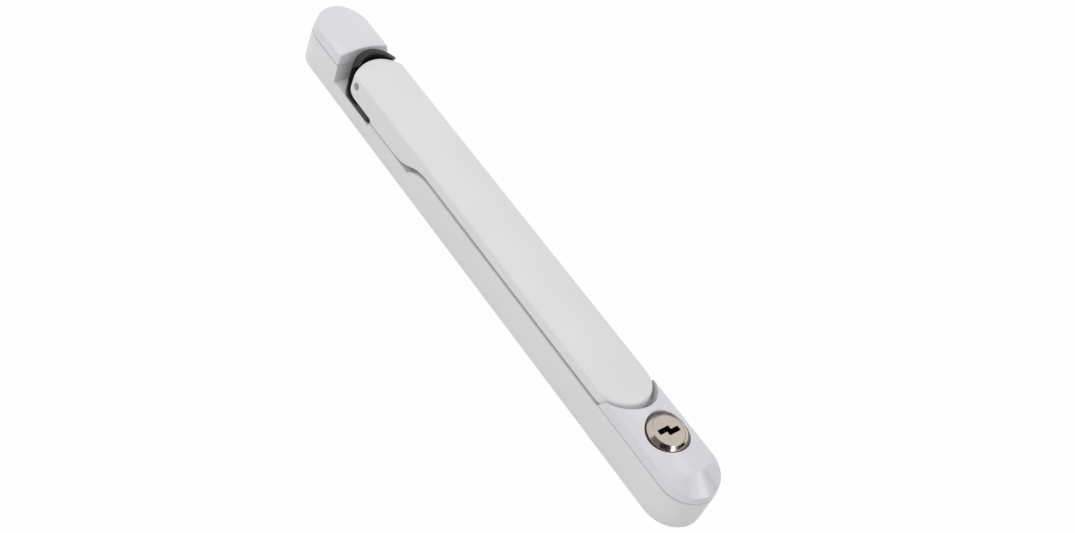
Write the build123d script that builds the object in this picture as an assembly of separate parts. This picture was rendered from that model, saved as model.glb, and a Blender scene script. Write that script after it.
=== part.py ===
from build123d import *
import os
from math import radians, sqrt, tan

# In-line fold-out handle for an espagnolette window lock, in millimetres.
# The spindle axis is Z, the back face lies at z = 0, and the lock end points along +X.

# Base body
base_width = 24.0
base_draft = 1.28
seam_height = 13.9
upper_end = 40.5
lock_end = 200.5
wall = 2.2

# Recess that the pivot hub turns in, its leaning end wall and the cap's front above that wall
recess_floor = 6.5
grip_floor = 8.0
pocket_radius = 16.7
recess_lean = 3.9
front_lean = 17.0
front_round = 0.8
shoulder_end = 51.0
shoulder_radius = 15.0
ledge_round = 0.5

# Caps and lever share one section: leaning sides under a crowned top
side_lean = 12.0
edge_height = 17.85
crown_rise = 1.5
lock_crown_rise = 2.85
top_round = 0.9
seam_bevel = 0.25
cap_wall = 2.0
cap_ceiling = 16.1
peg_radius = 1.5
peg_depth = 5.0
upper_peg_spacing = 10.0
upper_peg_offset = 5.0
lock_peg_spacing = 15.6
lock_peg_front = 9.0
lock_peg_back = 11.0

# Lever
lever_apex = 7.5
heel_radius = 6.9
heel_round = 2.8
heel_share = 0.65
fork_gap = 0.3
lever_end_radius = 16.0
lever_inset = 0.19
blade_gap = 0.6
grip_bottom = 8.4
cheek_bottom = 9.6
step_gap = 0.3
grip_end = 29.5
blade_start = 50.0
slot_half = 5.0
core_depth = 1.8
core_lead = 14.0
core_setback = 16.4
core_half = 7.5

# Hinge pin and hub
pin_height = 15.0
pin_radius = 1.35
pin_clearance = 0.02
pin_recess = 0.25
tongue_radius = 2.5
hub_radius = 12.0
hub_inset = 0.6
hub_front = 11.7
hub_corner = 2.0
flange_top = 9.3
rim_inner = 9.05
rim_front = 5.2
rim_round = 0.4
tongue_gap = 0.4
turn_gap = 0.35
barrel_radius = 7.95
running_fit = 0.05
spindle_square = 7.1
socket_depth = 5.0

# Hub bearing in the base
bush_wall = 1.0
bush_flange_radius = 10.8
bush_flange = 0.6
bush_lift = 0.15
press_gap = 0.02
bush_bottom = 2.9
hub_bottom = 1.2
ring_thickness = 0.6
ring_outer = 9.6
ring_bite = 0.75
ring_opening = 7.0
spring_thickness = 0.3
hub_counterbore = 10.4

# Plunger that holds the lever folded or lifted
plunger_radius = 2.45
plunger_length = 7.5
plunger_gap = 0.05
plunger_floor = 2.4
plunger_wall = 0.45
plunger_bore_end = 24.0
spring_wire = 0.3
spring_turns = 9

# Lock
lock_setback = 25.0
lock_hole_radius = 8.0
lock_flange_radius = 7.35
lock_face_height = 20.9
lock_bevel_width = 1.45
lock_bevel_height = 1.25
lock_body_radius = 6.5
lock_boss_radius = 9.2
lock_boss_top = 16.0
lock_body_bottom = 8.2
plug_radius = 4.5
plug_head_radius = 5.78
plug_head_seat = 17.4
friction_ring = 0.5
plug_bottom = 7.1
clip_thickness = 0.6
clip_outer = 5.9
clip_bite = 0.4
key_bar_length = 4.9
key_bar_width = 1.8
key_step = 0.75
key_shift = 1.5
key_depth = 10.0

# Slide that the lock plug drives into the lever's catch
slide_bottom = 5.0
slide_thickness = 2.0
slide_half = 5.4
slide_gap = 0.2
slide_ahead = 6.5
slide_behind = 7.5
slide_stroke = 4.5
nose_half = 2.4
nose_engagement = 1.6
crank_pin_radius = 1.1
crank_slack = 0.18
catch_setback = 3.5
catch_length = 3.4
catch_half = 3.0
catch_bottom = 3.0
catch_slack = 1.6
catch_root = 2.0
plate_thickness = 1.5
plate_half = 9.5
plate_ahead = 12.0
plate_behind = 8.9
plate_fit = 0.15
plate_gap = 0.1
plate_screw_ahead = 5.5
plate_screw_y = 7.5
plate_screw_radius = 1.0
plate_screw_head = 1.7
plate_screw_head_height = 1.1
plate_screw_length = 5.0
screw_slot_width = 0.5
screw_slot_depth = 0.5

# Lock cap
tip_reach = 23.6
scoop_gap = 0.3
scoop_lean = 19.8
scoop_taper = 10.0
facet_setback = 1.5
facet_foot_height = 17.0
facet_slope = 28.2
facet_taper = 58.0
facet_margin = 0.25
facet_root = 3.0
lock_end_wall = 7.0

# Fixing holes and rest buffers
upper_hole_setback = 14.5
lock_hole_setback = 10.5
fixing_radius = 2.6
fixing_head_radius = 4.8
fixing_seat = 8.0
buffer_radius = 2.5
buffer_height = 1.2
buffer_lead = 7.0
buffer_setback = 7.4
buffer_gap = 0.05

# Joined forms reach into each other by weld, cutters run past a face by past, and tall ones end at headroom
weld = 0.5
past = 1.0
headroom = 5.0

# Worked out from the sizes above
base_half = base_width / 2
hub_half_width = base_half - hub_inset
seam_half = base_half - seam_height * tan(radians(base_draft))
lever_half = seam_half - lever_inset
edge_half = seam_half - (edge_height - seam_height) * tan(radians(side_lean))
crown_top = edge_height + crown_rise
upper_centre = base_half - upper_end
upper_hole = upper_hole_setback - upper_end
lock_x = lock_end - lock_setback
lock_hole = lock_end - lock_hole_setback
lock_cavity_end = lock_end - lock_end_wall
facet_foot = lock_end - facet_setback
tip_centre = lock_x - tip_reach
scoop_radius = seam_half + scoop_gap
catch_front = tip_centre + lever_half - catch_setback
slide_front = lock_x - slide_ahead
slide_back = lock_x + slide_behind
plate_front = lock_x - plate_ahead
plate_back = lock_x + plate_behind
plate_screw_x = lock_x - plate_screw_ahead
core_start = blade_start + core_lead
core_end = tip_centre - core_setback
buffer_places = (blade_start + buffer_lead, tip_centre - buffer_setback)
lock_centre = lock_end - base_half
length_mid = (lock_end - upper_end) / 2
reach = lock_end + upper_end
lock_crown_top = edge_height + lock_crown_rise
over_top = lock_crown_top + headroom
recess_back = hub_radius + turn_gap
seam_back = recess_back + (seam_height - recess_floor) * tan(radians(recess_lean))
blade_bottom = seam_height + blade_gap
lean_start = blade_bottom - blade_gap / 2
heel_limit = heel_share * (lean_start - cheek_bottom)
step_depth = cheek_bottom - grip_bottom
cheek_step = hub_front + step_gap + step_depth
hub_seat = recess_floor + bush_lift
bush_radius = barrel_radius + running_fit + bush_wall
fork_reach = tongue_radius + fork_gap
slot_ceiling = pin_height + fork_reach
slide_top = slide_bottom + slide_thickness
crank_throw = slide_stroke / sqrt(2)
crank_offset = slide_stroke / 2
catch_back = catch_front - catch_length
channel_top = slide_top + slide_gap
nose_tip = catch_front - nose_engagement + slide_stroke
plate_top = slide_bottom - plate_gap

ON_BOTTOM = (Align.CENTER, Align.CENTER, Align.MIN)


def upright(x, y, bottom, radius, top):
    """Returns a standing cylinder between two heights."""
    return Pos(x, y, bottom) * Cylinder(radius, top - bottom, align=ON_BOTTOM)


def ring(x, bottom, inner, outer, top):
    """Returns a standing ring between two heights."""
    return upright(x, 0, bottom, outer, top) - upright(x, 0, bottom - past, inner, top + past)


def block(x0, x1, half_width, bottom, top):
    """Returns a block that is centred on the length axis."""
    middle = ((x0 + x1) / 2, 0, (bottom + top) / 2)
    return Pos(*middle) * Box(x1 - x0, 2 * half_width, top - bottom)


def stadium(x0, x1, half_width, height):
    """Returns a flat round-ended outline at a height, from its two end centres."""
    return Pos((x0 + x1) / 2, 0, height) * SlotCenterToCenter(x1 - x0, 2 * half_width)


def side_shape(edges, half_width):
    """Returns a side profile, drawn as (x, z), drawn out across the width."""
    return extrude(Plane.XZ * make_face(edges), amount=half_width, both=True)


def crown_radius(rise):
    """Returns the radius of a crown that rises by this much between the two top edges."""
    return (edge_half**2 + rise**2) / (2 * rise)


def crown_bar(rise):
    """Returns the long cylinder whose upper side is a crowned top."""
    radius = crown_radius(rise)
    place = Pos(length_mid, 0, edge_height + rise - radius)
    return place * Rot(0, 90, 0) * Cylinder(radius, 2 * reach)


def crowned(outline, height, rise):
    """Returns an outline drawn up with leaning sides to a crowned top, its edge rounded."""
    blank = extrude(outline, amount=over_top - height, taper=side_lean) & crown_bar(rise)
    top = blank.faces().sort_by(Axis.Z)[-1]
    return fillet(top.edges(), top_round)


def front_room(clearance=0.0):
    """Returns the room in front of the upper cap, behind a wall that leans back as it rises."""
    foot = -seam_back - clearance
    head = foot - (over_top - seam_height) * tan(radians(front_lean))
    corners = [(foot, seam_height), (head, over_top), (base_width, over_top), (base_width, seam_height)]
    return side_shape(Polyline(*corners, close=True), base_width)


def scoop_room(clearance=0.0):
    """Returns the room round the lever's tip, whose round end leans into the lock cap as it rises."""
    layers = []
    for height in (seam_height, over_top):
        centre = tip_centre + (height - seam_height) * tan(radians(scoop_lean))
        radius = scoop_radius - (height - seam_height) * tan(radians(scoop_taper))
        layers.append(stadium(tip_centre - reach / 4, centre, radius + clearance, height))
    return loft(layers, ruled=True)


def peg_spots(x, spacing):
    """Returns the two places of a cap's pegs."""
    return [(x, -spacing / 2), (x, spacing / 2)]


upper_pegs = peg_spots(upper_centre - upper_peg_offset, upper_peg_spacing)
lock_pegs = peg_spots(lock_x - lock_peg_front, lock_peg_spacing)
lock_pegs += peg_spots(lock_x + lock_peg_back, lock_peg_spacing)


def make_base():
    """Returns the long base: recess, shoulder, bores, lock channel and cored back."""
    body = extrude(stadium(upper_centre, lock_centre, base_half, 0), amount=seam_height, taper=base_draft)
    drop = seam_height - grip_floor
    shoulder_start = shoulder_end - sqrt(shoulder_radius**2 - (shoulder_radius - drop) ** 2)
    floor_start = (0, grip_floor)
    floor_stop = (shoulder_start, grip_floor)
    deck_stop = (shoulder_end, seam_height)
    recess = Curve() + [
        Line(floor_start, floor_stop),
        TangentArc(deck_stop, floor_stop, tangent=(-1, 0)),
        Line(deck_stop, (shoulder_end, over_top)),
        Line((shoulder_end, over_top), (0, over_top)),
        Line((0, over_top), floor_start),
    ]
    body -= side_shape(recess, base_width)

    # Pocket that the hub turns in: a leaning wall behind, a round edge in front
    behind = [(0, recess_floor), (-recess_back, recess_floor), (-seam_back, seam_height), (0, seam_height)]
    pocket = side_shape(Polyline(*behind, close=True), base_width)
    in_front = block(-weld, base_width, base_width, recess_floor, over_top)
    body -= pocket + (upright(0, 0, recess_floor, pocket_radius, over_top) & in_front)
    rims = [
        edge
        for edge in body.edges()
        if -recess_back < edge.center().X < shoulder_end
        and abs(edge.center().Y) > hub_half_width
        and recess_floor - weld < edge.center().Z < seam_height
    ]
    body = fillet(rims, ledge_round)
    body += upright(lock_x, 0, seam_height - weld, lock_boss_radius, lock_boss_top)

    # Hub bearing
    body -= upright(0, 0, -past, bush_radius + press_gap, over_top)
    body -= upright(0, 0, hub_seat - bush_flange, bush_flange_radius + plate_fit, over_top)
    body -= upright(0, 0, -past, hub_counterbore, bush_bottom)

    # Cored back between the hub, the shoulder and the lock
    core = base_half - wall
    body -= block(hub_counterbore + wall, shoulder_end - wall, core, -past, recess_floor - wall)
    body -= block(shoulder_end + wall, catch_back - catch_slack - wall, core, -past, seam_height - wall)

    # Lock bore, slide channel and catch slot
    body -= upright(lock_x, 0, slide_bottom, lock_body_radius + press_gap, over_top)
    body -= block(plate_front - plate_fit, plate_back + plate_fit, plate_half + plate_fit, -past, plate_top)
    channel_front = slide_front - slide_stroke - slide_gap
    body -= block(channel_front, slide_back + slide_gap, slide_half + slide_gap, -past, channel_top)
    body -= block(catch_back, slide_front, nose_half + slide_gap, -past, channel_top)
    catch_room = catch_half + slide_gap
    body -= block(catch_back - catch_slack, catch_front + catch_slack, catch_room, -past, over_top)
    for y in (-plate_screw_y, plate_screw_y):
        body -= upright(plate_screw_x, y, 0, plate_screw_radius + press_gap, plate_top + plate_screw_length)

    # Fixing holes, peg holes and buffer seats
    for x in (upper_hole, lock_hole):
        body -= upright(x, 0, -past, fixing_radius, over_top)
        body -= upright(x, 0, fixing_seat, fixing_head_radius, over_top)
    for x, y in upper_pegs + lock_pegs:
        body -= upright(x, y, seam_height - peg_depth - slide_gap, peg_radius + press_gap, over_top)
    for x in buffer_places:
        body -= upright(x, 0, blade_bottom - buffer_gap - buffer_height, buffer_radius + press_gap, over_top)
    return body


def seam_bevelled(cap):
    """Returns a cap with its lower outer edge broken, so that the seam shows as a fine line."""
    seat = cap.faces().sort_by(Axis.Z)[0]
    return chamfer(seat.outer_wire().edges(), seam_bevel)


def make_upper_cap():
    """Returns the hollow cap over the upper fixing hole, its soft-edged front leaning away from the hub."""
    cap = crowned(stadium(upper_centre, 0, seam_half, seam_height), seam_height, crown_rise)
    cap -= front_room()
    front = cap.faces().sort_by(Axis.X)[-1]
    cap = fillet(front.edges().sort_by(Axis.Z)[1:], front_round)
    cap = seam_bevelled(cap)
    hollow = stadium(upper_centre, 0, seam_half - cap_wall, seam_height)
    cap -= extrude(hollow, amount=cap_ceiling - seam_height) - front_room(cap_wall)
    for x, y in upper_pegs:
        cap += upright(x, y, seam_height - peg_depth, peg_radius, cap_ceiling + weld)
    return cap


def facet_solid():
    """Returns the room under the slanted end facet, a round end that slopes back as it rises."""
    shift = 1 / tan(radians(facet_slope))
    layers = []
    for height in (seam_height - facet_root, lock_crown_top + past):
        half = edge_half + facet_margin - (height - edge_height) * tan(radians(facet_taper))
        apex = facet_foot - shift * (height - facet_foot_height)
        layers.append(stadium(tip_centre - reach / 4, apex - half, half, height))
    return loft(layers, ruled=True)


def make_lock_cap():
    """Returns the hollow cap round the lock, scooped for the lever's tip and faceted at its end."""
    cap = crowned(stadium(tip_centre, lock_centre, seam_half, seam_height), seam_height, lock_crown_rise)
    cap &= facet_solid()
    cap = seam_bevelled(cap) - scoop_room()
    mouth = Cone(scoop_radius + seam_bevel, scoop_radius, seam_bevel, align=ON_BOTTOM)
    cap -= Pos(tip_centre, 0, seam_height) * mouth
    inner = seam_half - cap_wall
    hollow = stadium(lock_x, lock_cavity_end - inner, inner, seam_height)
    inside = extrude(hollow, amount=cap_ceiling - seam_height)
    inside += block(tip_centre, lock_x, inner, seam_height, cap_ceiling)
    cap -= inside - scoop_room(cap_wall)
    cap -= upright(lock_x, 0, seam_height - past, lock_hole_radius, over_top)
    for x, y in lock_pegs:
        cap += upright(x, y, seam_height - peg_depth, peg_radius, cap_ceiling + weld)
    return cap


def lever_side():
    """Returns the lever's side profile, from the round pivot end along the grip to the blade."""
    end = -2 * lever_apex
    s_start = (grip_end, grip_bottom)
    s_stop = (blade_start, blade_bottom)
    s_middle = ((grip_end + blade_start) / 2, (grip_bottom + blade_bottom) / 2)
    far = tip_centre + base_width
    rise = TangentArc(s_start, s_middle, tangent=(1, 0))
    edges = Curve() + [
        Line((end, over_top), (end, cheek_bottom)),
        Line((end, cheek_bottom), (cheek_step - step_depth, cheek_bottom)),
        Line((cheek_step - step_depth, cheek_bottom), (cheek_step, grip_bottom)),
        Line((cheek_step, grip_bottom), s_start),
        rise,
        TangentArc(s_middle, s_stop, tangent=rise % 1),
        Line(s_stop, (far, blade_bottom)),
        Line((far, blade_bottom), (far, over_top)),
        Line((far, over_top), (end, over_top)),
    ]
    return side_shape(edges, base_width)


def make_lever():
    """Returns the fold-out lever: crowned blade, deep grip, forked pivot end and catch seat."""
    outline = stadium(-base_width, tip_centre, lever_half, lean_start)
    body = crowned(outline, lean_start, crown_rise)
    body += extrude(Pos(0, 0, -lean_start) * outline, amount=lean_start)
    body &= lever_side()
    end_centre = lever_end_radius - lever_apex
    round_end = upright(end_centre, 0, 0, lever_end_radius, over_top)
    body &= round_end + block(end_centre, tip_centre + base_width, base_width, 0, over_top)
    end_edges = [
        edge
        for edge in body.edges()
        if edge.center().X < 0
        and edge.center().Z > edge_height - top_round
        and abs(edge.center().Y) < edge_half
    ]
    body = fillet(end_edges, top_round / 2)
    heel_edges = [
        edge
        for edge in body.edges()
        if edge.center().X < -lever_apex / 2 and edge.center().Z < cheek_bottom + weld
    ]
    body = fillet(heel_edges, min(heel_round, heel_limit))
    heel = Pos(0, 0, pin_height) * Rot(90, 0, 0) * Cylinder(heel_radius, 2 * base_width)
    body -= block(-base_width, 0, base_width, 0, pin_height) - heel

    # Fork slot, pin bore and plunger bore
    body -= block(-base_width, fork_reach, slot_half, 0, slot_ceiling)
    body -= Pos(0, 0, pin_height) * Rot(90, 0, 0) * Cylinder(pin_radius + pin_clearance, 2 * base_width)
    body -= along(0, plunger_bore_end, plunger_radius + running_fit)

    # Cored underside and the seat of the lock catch
    core = stadium(core_start, core_end, core_half, blade_bottom)
    body -= extrude(core, amount=core_depth)
    seat = catch_half + press_gap
    return body - block(catch_back - press_gap, catch_front + press_gap, seat, 0, blade_bottom + catch_root)


def make_lock_catch():
    """Returns the steel hook under the lever's tip that the slide locks into."""
    body = block(catch_back, catch_front, catch_half, catch_bottom, blade_bottom + catch_root - press_gap)
    notch_back = catch_front - nose_engagement - slide_gap
    return body - block(notch_back, catch_front + past, base_width, slide_bottom - slide_gap, channel_top)


def along(x0, x1, radius):
    """Returns a cylinder along the length at the height of the hinge pin."""
    return Pos((x0 + x1) / 2, 0, pin_height) * Rot(0, 90, 0) * Cylinder(radius, x1 - x0)


def make_hub():
    """Returns the black hub: flange, cup-shaped rim, hinge tongue and spindle barrel."""
    span = hub_front + hub_radius
    sheet = Pos(hub_front - span / 2, 0) * Rectangle(span, 2 * hub_half_width)
    sheet = fillet(sheet.vertices().group_by(Axis.X)[-1], hub_corner)
    sheet &= Circle(hub_radius) + Pos(hub_radius, 0) * Rectangle(2 * hub_radius, 2 * base_width)
    body = extrude(Pos(0, 0, hub_seat) * sheet, amount=flange_top - hub_seat)

    # Crowned collar that stands round the back of the lever's end
    back = sheet & (Pos(-hub_radius - rim_front, 0) * Rectangle(2 * hub_radius, 2 * base_width))
    collar = extrude(Pos(0, 0, hub_seat) * (back - Circle(rim_inner)), amount=over_top - hub_seat)
    collar &= crown_bar(lock_crown_rise)
    crest = collar.faces().sort_by(Axis.Z)[-1]
    body += fillet(crest.edges(), rim_round)

    # Room for the lever's round end through its whole swing
    corner = sqrt(lever_apex**2 + (crown_top - pin_height) ** 2) + turn_gap
    side_end = lever_apex - lever_end_radius + sqrt(lever_end_radius**2 - base_half**2)
    crown = crown_radius(crown_rise)
    side_rise = crown_top - crown + sqrt(crown**2 - base_half**2) - pin_height
    waist = sqrt(side_end**2 + side_rise**2) + turn_gap
    profile = Curve() + [
        Line((0, -base_half), (waist, -base_half)),
        ThreePointArc((waist, -base_half), (corner, 0), (waist, base_half)),
        Line((waist, base_half), (0, base_half)),
        Line((0, base_half), (0, -base_half)),
    ]
    cup = Pos(0, 0, pin_height) * revolve(make_face(profile), Axis.Y)
    heel = Pos(0, 0, pin_height) * Rot(90, 0, 0) * Cylinder(heel_radius + turn_gap, 2 * base_width)
    cup_floor = pin_height - lever_apex - turn_gap / 2
    body -= (cup + heel) & block(-base_width, base_width, base_width, cup_floor, over_top)

    # Tongue that carries the hinge pin
    tongue_half = slot_half - tongue_gap
    body += block(-tongue_radius, tongue_radius, tongue_half, hub_seat, pin_height)
    body += Pos(0, 0, pin_height) * Rot(90, 0, 0) * Cylinder(tongue_radius, 2 * tongue_half)
    body -= Pos(0, 0, pin_height) * Rot(90, 0, 0) * Cylinder(pin_radius + pin_clearance, 2 * base_width)

    # Barrel with the square spindle socket and the ring groove
    body += upright(0, 0, hub_bottom, barrel_radius, hub_seat + weld)
    groove_bottom = hub_bottom + ring_thickness
    groove_top = groove_bottom + ring_thickness
    body -= ring(0, groove_bottom, barrel_radius - ring_bite, hub_counterbore, groove_top)
    socket_half = spindle_square / 2
    return body - block(-socket_half, socket_half, socket_half, 0, hub_bottom + socket_depth)


def make_hub_bush():
    """Returns the flanged plastic bush that the hub turns in."""
    body = ring(0, bush_bottom, barrel_radius + running_fit, bush_radius, hub_seat)
    return body + ring(0, hub_seat - bush_flange, barrel_radius + running_fit, bush_flange_radius, hub_seat)


def make_retaining_ring():
    """Returns the open spring ring in the hub's groove."""
    bottom = hub_bottom + ring_thickness + press_gap
    inner = barrel_radius - ring_bite + press_gap
    body = ring(0, bottom, inner, ring_outer, bottom + ring_thickness - 2 * press_gap)
    opening = Box(2 * hub_counterbore, ring_opening, 2 * ring_thickness)
    return body - Pos(-hub_counterbore, 0, bottom) * opening


def make_disc_spring():
    """Returns the coned spring washer that keeps the hub seated on its bush."""
    low = hub_bottom + 2 * ring_thickness
    high = bush_bottom - spring_thickness
    inner = barrel_radius + 2 * running_fit
    outer = ring_outer
    cone = Polyline(
        (inner, low),
        (outer, high),
        (outer, high + spring_thickness),
        (inner, low + spring_thickness),
        close=True,
    )
    return revolve(Plane.XZ * make_face(cone), Axis.Z)


def make_hinge_pin():
    """Returns the steel pin that the lever folds about."""
    length = 2 * (lever_half - pin_recess)
    pin = Pos(0, 0, pin_height) * Rot(90, 0, 0) * Cylinder(pin_radius, length)
    ends = pin.edges().filter_by(GeomType.CIRCLE)
    return chamfer(ends, pin_recess)


def make_plunger():
    """Returns the hollow plunger that presses on the hub's tongue."""
    front = tongue_radius + plunger_gap
    body = along(front, front + plunger_length, plunger_radius)
    return body - along(front + plunger_floor, front + plunger_length + past, plunger_radius - plunger_wall)


def make_plunger_spring():
    """Returns the coil spring behind the plunger."""
    seat = tongue_radius + plunger_gap + plunger_floor + spring_wire
    length = plunger_bore_end - spring_wire - seat
    coil = plunger_radius - plunger_wall - spring_wire - running_fit
    path = Pos(seat, 0, pin_height) * Rot(0, 90, 0) * Helix(length / spring_turns, length, coil)
    return sweep(Plane(path @ 0, z_dir=path % 0) * Circle(spring_wire), path=path, is_frenet=True)


def make_lock_barrel():
    """Returns the fixed lock barrel with its bevelled flange."""
    body = upright(lock_x, 0, lock_body_bottom, lock_body_radius, lock_boss_top)
    flange = upright(lock_x, 0, lock_boss_top, lock_flange_radius, lock_face_height)
    rim = flange.faces().sort_by(Axis.Z)[-1].edges()
    body += chamfer(rim, lock_bevel_height, lock_bevel_width)
    body -= upright(lock_x, 0, 0, plug_radius + running_fit, over_top)
    return body - upright(lock_x, 0, plug_head_seat, plug_head_radius + running_fit, over_top)


def make_lock_plug():
    """Returns the turning plug: flat face, stepped key slot and eccentric drive pin."""
    body = upright(lock_x, 0, plug_bottom, plug_radius, lock_face_height)
    body += upright(lock_x, 0, plug_head_seat + friction_ring, plug_head_radius, lock_face_height)
    clip_bottom = lock_body_bottom - clip_thickness - running_fit
    body -= ring(lock_x, clip_bottom, plug_radius - clip_bite, clip_outer, lock_body_bottom - running_fit)
    bar = Rectangle(key_bar_width, key_bar_length)
    slot = Pos(-key_step, -key_shift) * bar + Pos(key_step, key_shift) * bar
    body -= extrude(Pos(lock_x, 0, lock_face_height - key_depth) * slot, amount=key_depth + past)
    pin_x = lock_x + crank_offset
    return body + upright(pin_x, crank_offset, slide_bottom, crank_pin_radius, plug_bottom + weld / 2)


def make_friction_ring():
    """Returns the soft ring under the plug's head that keeps the key from turning by itself."""
    top = plug_head_seat + friction_ring
    return ring(lock_x, plug_head_seat, plug_radius + running_fit, plug_head_radius, top)


def make_plug_clip():
    """Returns the open clip that holds the plug in its barrel."""
    top = lock_body_bottom - running_fit - press_gap
    bottom = top - clip_thickness + 2 * press_gap
    body = ring(lock_x, bottom, plug_radius - clip_bite + press_gap, clip_outer, top)
    return body - Pos(lock_x - clip_outer, 0, top) * Box(2 * clip_outer, plug_radius, 4 * clip_thickness)


def make_slide():
    """Returns the locking slide with its nose and the cross slot for the drive pin."""
    body = block(slide_front, slide_back, slide_half, slide_bottom, slide_top)
    body += block(nose_tip, slide_front + weld, nose_half, slide_bottom, slide_top)
    slot_width = 2 * (crank_pin_radius + crank_slack)
    travel = crank_throw - crank_offset
    slot = SlotCenterToCenter(travel + crank_slack, slot_width, rotation=90)
    slot_place = Pos(lock_x + crank_offset, crank_offset + travel / 2, slide_bottom - past)
    return body - extrude(slot_place * slot, amount=slide_thickness + 2 * past)


def make_slide_plate():
    """Returns the plate that closes the slide's channel at the back."""
    body = block(plate_front, plate_back, plate_half, plate_top - plate_thickness, plate_top)
    body = fillet(body.edges().filter_by(Axis.Z), plate_thickness)
    for y in (-plate_screw_y, plate_screw_y):
        body -= upright(plate_screw_x, y, 0, plate_screw_radius + running_fit, over_top)
    return body


def make_plate_screws():
    """Returns the two small screws of the slide plate."""
    seat = plate_top - plate_thickness
    tip = plate_top + plate_screw_length - slide_gap
    screws = []
    for y in (-plate_screw_y, plate_screw_y):
        shank = upright(plate_screw_x, y, seat, plate_screw_radius, tip)
        head = upright(plate_screw_x, y, seat - plate_screw_head_height, plate_screw_head, seat)
        drive = Box(2 * plate_screw_head, screw_slot_width, 2 * screw_slot_depth)
        drive = Pos(plate_screw_x, y, seat - plate_screw_head_height) * drive
        screws.append(shank + head - drive)
    return Compound(children=screws)


def make_rest_buffers():
    """Returns the soft pads that the folded lever rests on."""
    top = blade_bottom - buffer_gap
    return Compound(children=[upright(x, 0, top - buffer_height, buffer_radius, top) for x in buffer_places])


nodes = {
    "base_body": make_base(),
    "upper_cap": make_upper_cap(),
    "lock_cap": make_lock_cap(),
    "lever": make_lever(),
    "hub": make_hub(),
    "hub_bush": make_hub_bush(),
    "retaining_ring": make_retaining_ring(),
    "disc_spring": make_disc_spring(),
    "hinge_pin": make_hinge_pin(),
    "lock_catch": make_lock_catch(),
    "lever_plunger": make_plunger(),
    "plunger_spring": make_plunger_spring(),
    "lock_barrel": make_lock_barrel(),
    "lock_plug": make_lock_plug(),
    "friction_ring": make_friction_ring(),
    "plug_clip": make_plug_clip(),
    "lock_slide": make_slide(),
    "slide_plate": make_slide_plate(),
    "slide_plate_screws": make_plate_screws(),
    "rest_buffers": make_rest_buffers(),
}

os.makedirs("parts", exist_ok=True)
for name, shape in nodes.items():
    export_step(shape, f"parts/{name}.step")
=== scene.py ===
"""Looks of the fold-out espagnolette window handle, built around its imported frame."""
import logging
import math
from dataclasses import dataclass
from enum import Enum
from typing import Any, ClassVar, Iterable, Optional, Union

import bmesh
import bpy
from mathutils import Matrix, Vector


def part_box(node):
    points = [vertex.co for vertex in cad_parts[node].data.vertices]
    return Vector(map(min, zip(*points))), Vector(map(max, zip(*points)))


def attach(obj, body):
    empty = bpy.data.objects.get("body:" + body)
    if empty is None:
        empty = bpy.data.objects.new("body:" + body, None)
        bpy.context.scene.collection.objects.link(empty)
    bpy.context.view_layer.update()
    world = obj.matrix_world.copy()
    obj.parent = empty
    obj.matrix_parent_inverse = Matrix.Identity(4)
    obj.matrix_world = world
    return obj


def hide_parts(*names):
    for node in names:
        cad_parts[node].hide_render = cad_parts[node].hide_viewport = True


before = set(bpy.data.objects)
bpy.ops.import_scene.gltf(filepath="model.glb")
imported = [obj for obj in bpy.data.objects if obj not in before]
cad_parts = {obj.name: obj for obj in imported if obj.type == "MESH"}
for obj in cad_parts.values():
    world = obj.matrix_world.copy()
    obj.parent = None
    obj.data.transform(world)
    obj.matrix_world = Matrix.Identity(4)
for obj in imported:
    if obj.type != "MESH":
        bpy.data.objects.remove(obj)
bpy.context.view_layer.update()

LOG = logging.getLogger("window_handle")
MM = 0.001
SEAM_HEIGHT = 13.9 * MM
CREASE_ANGLE = math.radians(35)

Rgb = tuple[float, float, float]
Number = Union[int, float]


class Body(str, Enum):
    """The moving bodies of the handle."""

    BASE = "base"
    HUB = "pivot_hub"
    LEVER = "lever_arm"
    PLUG = "key_plug"
    SLIDE = "bolt_slide"


class Slot(str, Enum):
    """The record's material slots."""

    WHITE_COAT = "white_coat"
    WHITE_MOULDING = "white_moulding"
    BLACK_COAT = "black_coat"
    NICKEL = "nickel"
    STEEL = "bright_steel"
    SPRING = "spring_steel"
    NYLON = "nylon"
    RUBBER = "soft_rubber"


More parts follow.
